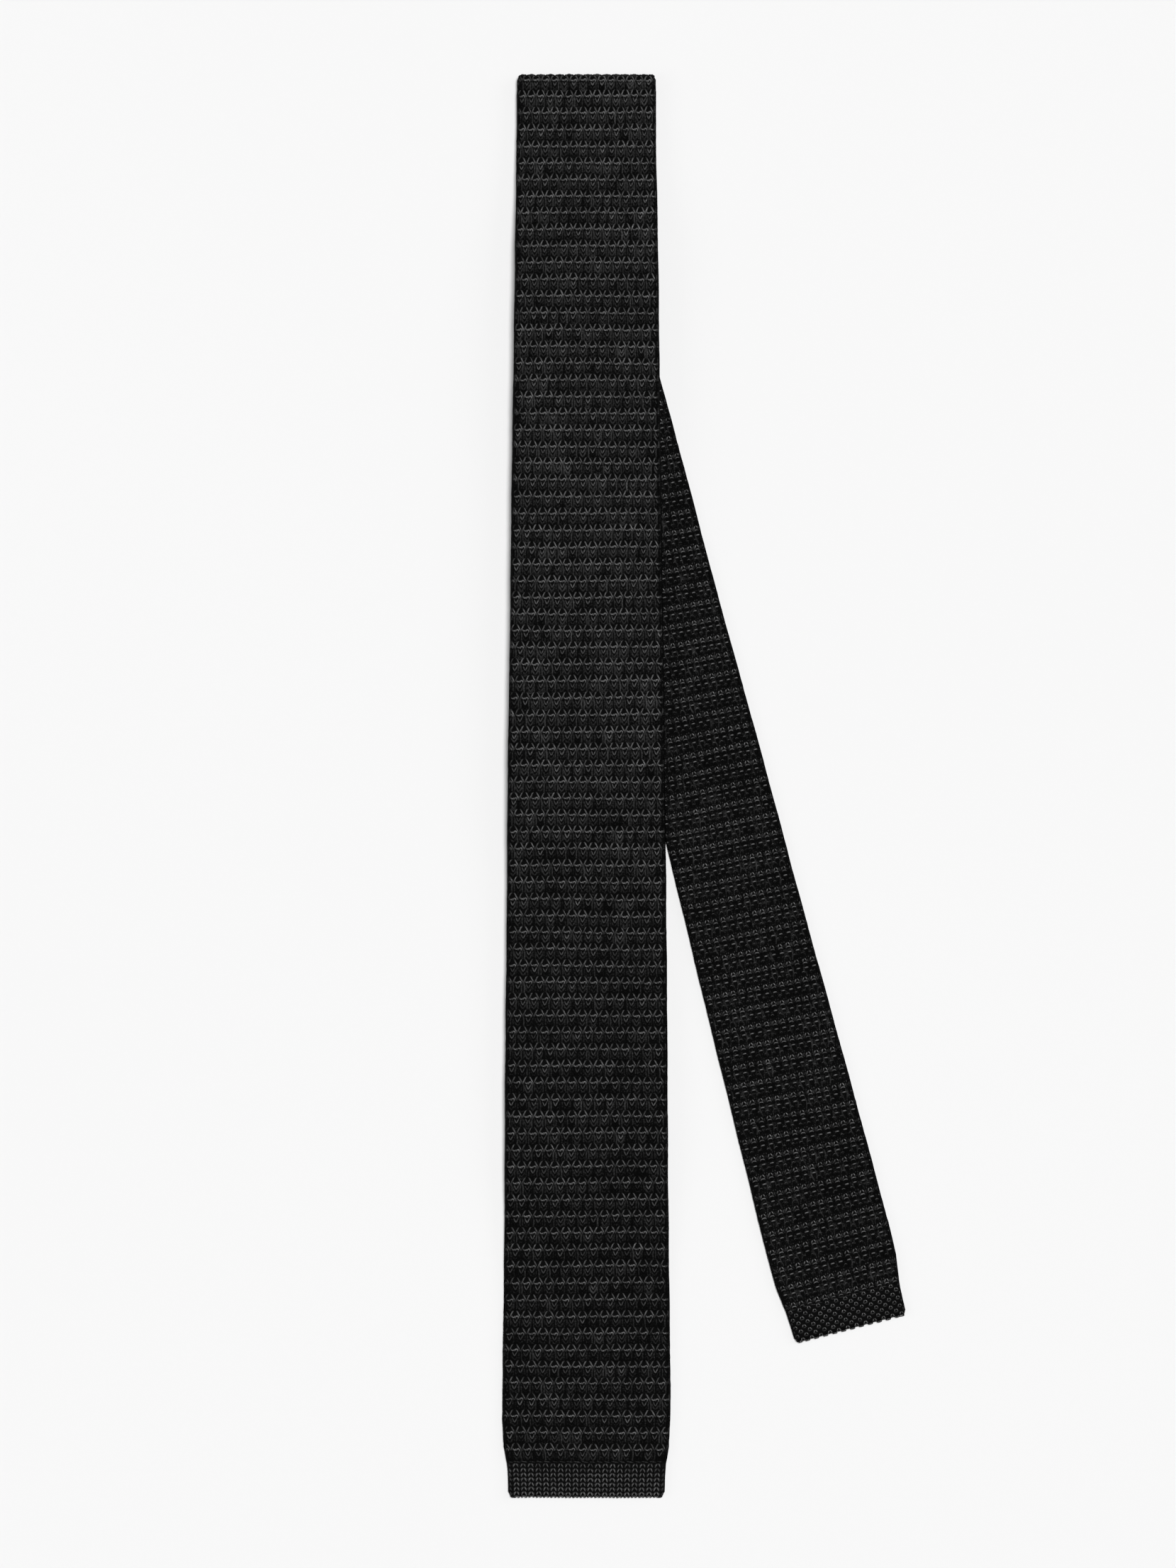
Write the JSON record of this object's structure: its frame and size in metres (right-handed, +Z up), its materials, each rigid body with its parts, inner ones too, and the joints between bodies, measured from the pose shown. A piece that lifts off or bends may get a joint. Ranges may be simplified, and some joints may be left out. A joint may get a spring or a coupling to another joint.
{
  "type": "necktie",
  "caption": "Black knitted silk necktie with square ends, laid folded: front blade on top, tail leaving the pile at an angle; folds, ends and keeper modelled.",
  "frame": {"origin": "centre of the bounding box at its underside, on the surface the tie lies on", "axes": "+Y along the front blade towards its top fold, +Z up out of the face of the front blade, +X towards the side on which the tail leaves the pile"},
  "size_m": [0.1432, 0.508, 0.0113],
  "materials": {
    "face_knit": "black silk yarn, cross-tuck knit, soft lustre on the raised loops",
    "reverse_knit": "black silk yarn, reverse of the knit, short bright purl bars",
    "hem_knit": "black silk yarn, plain jersey hem band",
    "keeper_knit": "black silk yarn, narrow plain-knit band",
    "sewing_thread": "black silk sewing thread",
    "stay_tape": "black woven tape, matte",
    "woven_label": "black satin-woven label, blank"
  },
  "bodies": {
    "front_blade": {"front_face_ply": "face_knit", "front_reverse_ply": "reverse_knit", "keeper_loop": "keeper_knit", "keeper_tack_left": "sewing_thread", "keeper_tack_right": "sewing_thread", "blank_label": "woven_label", "label_stitch_left": "sewing_thread", "label_stitch_right": "sewing_thread", "top_fold_bend": "face_knit"},
    "front_end": {"front_end_face_ply": "face_knit", "front_end_reverse_ply": "reverse_knit", "front_hem_seam": "sewing_thread", "front_hem_band": "hem_knit"},
    "neck_upper": {"neck_upper_face_ply": "face_knit", "neck_upper_reverse_ply": "reverse_knit", "neck_upper_stay_tape": "stay_tape", "lower_fold_bend": "face_knit"},
    "neck_lower": {"neck_lower_face_ply": "face_knit", "neck_lower_reverse_ply": "reverse_knit", "neck_lower_stay_tape": "stay_tape", "tail_fold_bend": "face_knit"},
    "tail": {"tail_face_ply": "face_knit", "tail_reverse_ply": "reverse_knit"},
    "tail_end": {"tail_end_face_ply": "face_knit", "tail_end_reverse_ply": "reverse_knit", "tail_hem_seam": "sewing_thread", "tail_hem_band": "hem_knit"}
  },
  "joints": [
    {"name": "top_fold", "type": "hinge", "parent": "front_blade", "child": "neck_upper", "pos_m": [-0.0416, 0.25125, 0.00275], "axis": [1, 0, 0], "range_deg": [0, 180], "deforming": ["top_fold_bend"]},
    {"name": "lower_fold", "type": "hinge", "parent": "neck_upper", "child": "neck_lower", "pos_m": [-0.0416, -0.082, 0.00275], "axis": [-1, 0, 0], "range_deg": [0, 170], "deforming": ["lower_fold_bend"]},
    {"name": "tail_fold", "type": "hinge", "parent": "neck_lower", "child": "tail", "pos_m": [-0.0416, 0.1714, 0.00275], "axis": [0.992, 0.1261, 0], "range_deg": [0, 170], "deforming": ["tail_fold_bend"]},
    {"name": "front_end_lift", "type": "hinge", "parent": "front_blade", "child": "front_end", "pos_m": [-0.0416, -0.192, 0.0026], "axis": [-1, 0, 0], "range_deg": [0, 60]},
    {"name": "tail_end_lift", "type": "hinge", "parent": "tail", "child": "tail_end", "pos_m": [0.03146, -0.11131, 0.0026], "axis": [-0.9682, -0.2502, 0], "range_deg": [0, 60]}
  ]
}
